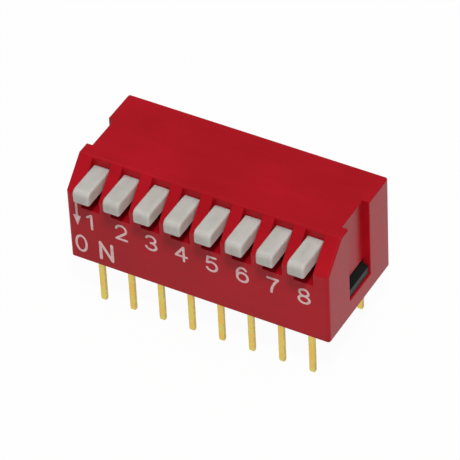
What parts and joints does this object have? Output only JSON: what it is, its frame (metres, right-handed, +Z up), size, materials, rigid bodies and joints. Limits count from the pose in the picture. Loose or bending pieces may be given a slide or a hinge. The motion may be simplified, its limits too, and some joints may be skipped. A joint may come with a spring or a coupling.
{
  "type": "dip switch",
  "caption": "Red piano-lever DIP switch: a moulded cover with a sloped shoulder, white rocking levers in slots, a black snap-in base and rows of gold-plated board pins.",
  "frame": {"origin": "middle of the pin pattern, on the plane where the base's underside meets the circuit board", "axes": "+X along the row from the first lever to the last, -Y towards the levers, +Z up, away from the board"},
  "size_m": [0.0218, 0.0108, 0.013],
  "materials": {
    "cover_plastic": "moulded, satin gloss, with white print on the front",
    "base_plastic": "moulded, black, semi-matte",
    "lever_plastic": "moulded, off-white, satin",
    "contact_bronze": "bare spring bronze strip",
    "terminal_gold": "stamped strip, bright gold plating"
  },
  "bodies": {
    "housing": {"cover": "cover_plastic", "base": "base_plastic", "front_terminal_1": "terminal_gold", "front_terminal_2": "terminal_gold", "front_terminal_3": "terminal_gold", "front_terminal_4": "terminal_gold", "front_terminal_5": "terminal_gold", "front_terminal_6": "terminal_gold", "front_terminal_7": "terminal_gold", "front_terminal_8": "terminal_gold", "rear_terminal_1": "terminal_gold", "rear_terminal_2": "terminal_gold", "rear_terminal_3": "terminal_gold", "rear_terminal_4": "terminal_gold", "rear_terminal_5": "terminal_gold", "rear_terminal_6": "terminal_gold", "rear_terminal_7": "terminal_gold", "rear_terminal_8": "terminal_gold"},
    "rocker_1": {"lever_1": "lever_plastic", "contact_1": "contact_bronze"},
    "rocker_2": {"lever_2": "lever_plastic", "contact_2": "contact_bronze"},
    "rocker_3": {"lever_3": "lever_plastic", "contact_3": "contact_bronze"},
    "rocker_4": {"lever_4": "lever_plastic", "contact_4": "contact_bronze"},
    "rocker_5": {"lever_5": "lever_plastic", "contact_5": "contact_bronze"},
    "rocker_6": {"lever_6": "lever_plastic", "contact_6": "contact_bronze"},
    "rocker_7": {"lever_7": "lever_plastic", "contact_7": "contact_bronze"},
    "rocker_8": {"lever_8": "lever_plastic", "contact_8": "contact_bronze"}
  },
  "joints": [
    {"name": "lever_1_rock", "type": "hinge", "parent": "housing", "child": "rocker_1", "pos_m": [-0.00889, -0.00061, 0.0063], "axis": [1, 0, 0], "range_deg": [0, 19]},
    {"name": "lever_2_rock", "type": "hinge", "parent": "housing", "child": "rocker_2", "pos_m": [-0.00635, -0.00061, 0.0063], "axis": [1, 0, 0], "range_deg": [0, 19]},
    {"name": "lever_3_rock", "type": "hinge", "parent": "housing", "child": "rocker_3", "pos_m": [-0.00381, -0.00061, 0.0063], "axis": [1, 0, 0], "range_deg": [0, 19]},
    {"name": "lever_4_rock", "type": "hinge", "parent": "housing", "child": "rocker_4", "pos_m": [-0.00127, -0.00061, 0.0063], "axis": [1, 0, 0], "range_deg": [0, 19]},
    {"name": "lever_5_rock", "type": "hinge", "parent": "housing", "child": "rocker_5", "pos_m": [0.00127, -0.00061, 0.0063], "axis": [1, 0, 0], "range_deg": [0, 19]},
    {"name": "lever_6_rock", "type": "hinge", "parent": "housing", "child": "rocker_6", "pos_m": [0.00381, -0.00061, 0.0063], "axis": [1, 0, 0], "range_deg": [0, 19]},
    {"name": "lever_7_rock", "type": "hinge", "parent": "housing", "child": "rocker_7", "pos_m": [0.00635, -0.00061, 0.0063], "axis": [1, 0, 0], "range_deg": [0, 19]},
    {"name": "lever_8_rock", "type": "hinge", "parent": "housing", "child": "rocker_8", "pos_m": [0.00889, -0.00061, 0.0063], "axis": [1, 0, 0], "range_deg": [0, 19]}
  ]
}
